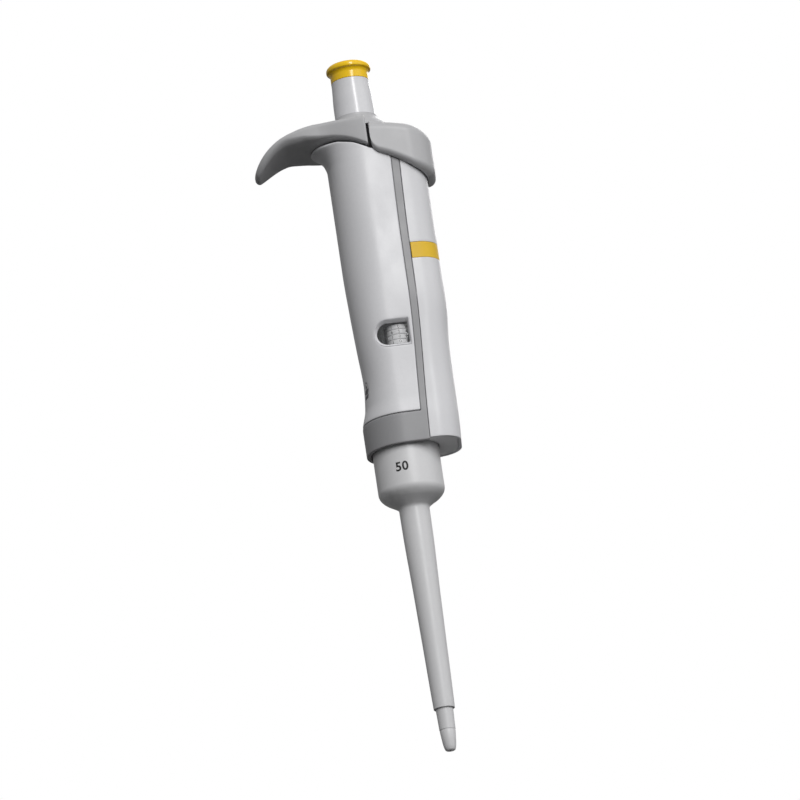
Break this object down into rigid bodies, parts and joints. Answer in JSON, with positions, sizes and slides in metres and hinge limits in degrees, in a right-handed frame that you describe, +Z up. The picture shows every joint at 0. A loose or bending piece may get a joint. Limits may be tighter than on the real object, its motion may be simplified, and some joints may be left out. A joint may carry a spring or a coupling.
{
  "type": "adjustable micropipette",
  "caption": "Hand-held adjustable micropipette with finger hook, control button, side tip ejector, digital volume display, ejector sleeve and tip cone.",
  "frame": {"origin": "centre of the flat land on the underside of the finger hook, where the pipette hangs on its stand", "axes": "+Z up along the pipette's axis towards the control button, +X from the hook towards the ejector, -Y out of the display"},
  "size_m": [0.0591, 0.0278, 0.237],
  "materials": {
    "white_plastic": "satin moulded plastic, light grey white",
    "gloss_white_plastic": "glossy moulded plastic, light grey white",
    "grey_plastic": "satin moulded plastic, mid grey",
    "light_grey_plastic": "satin moulded plastic, light grey",
    "dark_plastic": "matt moulded plastic, dark grey",
    "black_plastic": "matt black",
    "yellow_plastic": "glossy moulded plastic, warm yellow",
    "steel": "ground stainless steel",
    "clear_plastic": "clear polished plastic",
    "seal_rubber": "matt black rubber"
  },
  "bodies": {
    "handle": {"core_frame": "grey_plastic", "handle_shell": "white_plastic", "head_shell": "grey_plastic", "neck_ring": "grey_plastic", "display_lens": "clear_plastic", "adjustment_seal": "light_grey_plastic", "counter_frame": "dark_plastic", "wheel_axle": "steel", "transfer_axle": "steel", "display_mask": "black_plastic", "guide_pin": "steel", "bearing_plate": "dark_plastic", "detent_spring": "steel", "button_spring": "steel", "piston_spring": "steel", "cone_spring": "steel", "ejector_spring": "steel", "lower_housing": "grey_plastic", "housing_cap": "dark_plastic"},
    "dial": {"drive_gear": "light_grey_plastic", "dial_sleeve": "steel", "detent_ring": "dark_plastic"},
    "plunger": {"button_cap": "yellow_plastic", "button_stem": "gloss_white_plastic", "stroke_rod": "steel"},
    "piston_unit": {"piston": "steel", "piston_head": "dark_plastic"},
    "volume_stop": {"volume_stop_nut": "dark_plastic"},
    "wheel_1": {"volume_wheel_1": "gloss_white_plastic"},
    "wheel_2": {"volume_wheel_2": "gloss_white_plastic"},
    "wheel_3": {"volume_wheel_3": "gloss_white_plastic"},
    "wheel_4": {"volume_wheel_4": "gloss_white_plastic"},
    "transfer_1": {"transfer_pinion_1": "steel"},
    "transfer_2": {"transfer_pinion_2": "steel"},
    "transfer_3": {"transfer_pinion_3": "steel"},
    "ejector": {"ejector_sleeve": "white_plastic", "ejector_rail": "white_plastic", "color_band": "yellow_plastic", "ejector_bridge": "dark_plastic", "ejector_rod": "steel", "ejector_button": "light_grey_plastic"},
    "tip_unit": {"tip_cone": "light_grey_plastic", "piston_seal": "seal_rubber", "seal_retainer": "white_plastic"}
  },
  "joints": [
    {"name": "button_turn", "type": "hinge", "parent": "handle", "child": "dial", "pos_m": [0.021, 0, 0], "axis": [0, 0, 1], "range_deg": [-4050, 0]},
    {"name": "button_push", "type": "slide", "parent": "dial", "child": "plunger", "axis": [0, 0, -1], "range_m": [0, 0.0143], "stiffness_N_per_m": 250, "springref_m": -0.012, "deforming": ["button_spring"]},
    {"name": "piston_slide", "type": "slide", "parent": "handle", "child": "piston_unit", "axis": [0, 0, -1], "range_m": [0, 0.0143], "deforming": ["piston_spring"]},
    {"name": "stop_slide", "type": "slide", "parent": "handle", "child": "volume_stop", "axis": [0, 0, 1], "range_m": [0, 0.0111]},
    {"name": "wheel_1_turn", "type": "hinge", "parent": "handle", "child": "wheel_1", "pos_m": [0.0242, -0.00595, 0], "axis": [0, 0, 1], "range_deg": [0, 16200.1]},
    {"name": "wheel_2_turn", "type": "hinge", "parent": "handle", "child": "wheel_2", "pos_m": [0.0242, -0.00595, 0], "axis": [0, 0, 1], "range_deg": [0, 1620.1]},
    {"name": "wheel_3_turn", "type": "hinge", "parent": "handle", "child": "wheel_3", "pos_m": [0.0242, -0.00595, 0], "axis": [0, 0, 1], "range_deg": [0, 162.1]},
    {"name": "wheel_4_turn", "type": "hinge", "parent": "handle", "child": "wheel_4", "pos_m": [0.0242, -0.00595, 0], "axis": [0, 0, 1], "range_deg": [0, 16.3]},
    {"name": "transfer_1_turn", "type": "hinge", "parent": "handle", "child": "transfer_1", "pos_m": [0.0184, -0.0066, 0], "axis": [0, 0, 1], "range_deg": [-4050.1, 0]},
    {"name": "transfer_2_turn", "type": "hinge", "parent": "handle", "child": "transfer_2", "pos_m": [0.0184, -0.0066, 0], "axis": [0, 0, 1], "range_deg": [-405.1, 0]},
    {"name": "transfer_3_turn", "type": "hinge", "parent": "handle", "child": "transfer_3", "pos_m": [0.0184, -0.0066, 0], "axis": [0, 0, 1], "range_deg": [-40.6, 0]},
    {"name": "ejector_slide", "type": "slide", "parent": "handle", "child": "ejector", "axis": [0, 0, -1], "range_m": [0, 0.007], "stiffness_N_per_m": 500, "springref_m": -0.008, "deforming": ["ejector_spring"]},
    {"name": "tip_cone_slide", "type": "slide", "parent": "handle", "child": "tip_unit", "axis": [0, 0, 1], "range_m": [0, 0.002], "stiffness_N_per_m": 2500, "springref_m": -0.002, "deforming": ["cone_spring"]}
  ],
  "couplings": [
    {"joint": "piston_slide", "follows": "button_push", "ratio": 1},
    {"joint": "stop_slide", "follows": "button_turn", "m_per_rad": -0.00015562},
    {"joint": "wheel_1_turn", "follows": "button_turn", "ratio": -4},
    {"joint": "wheel_2_turn", "follows": "button_turn", "ratio": -0.4},
    {"joint": "wheel_3_turn", "follows": "button_turn", "ratio": -0.04},
    {"joint": "wheel_4_turn", "follows": "button_turn", "ratio": -0.004},
    {"joint": "transfer_1_turn", "follows": "button_turn", "ratio": 1},
    {"joint": "transfer_2_turn", "follows": "button_turn", "ratio": 0.1},
    {"joint": "transfer_3_turn", "follows": "button_turn", "ratio": 0.01}
  ]
}
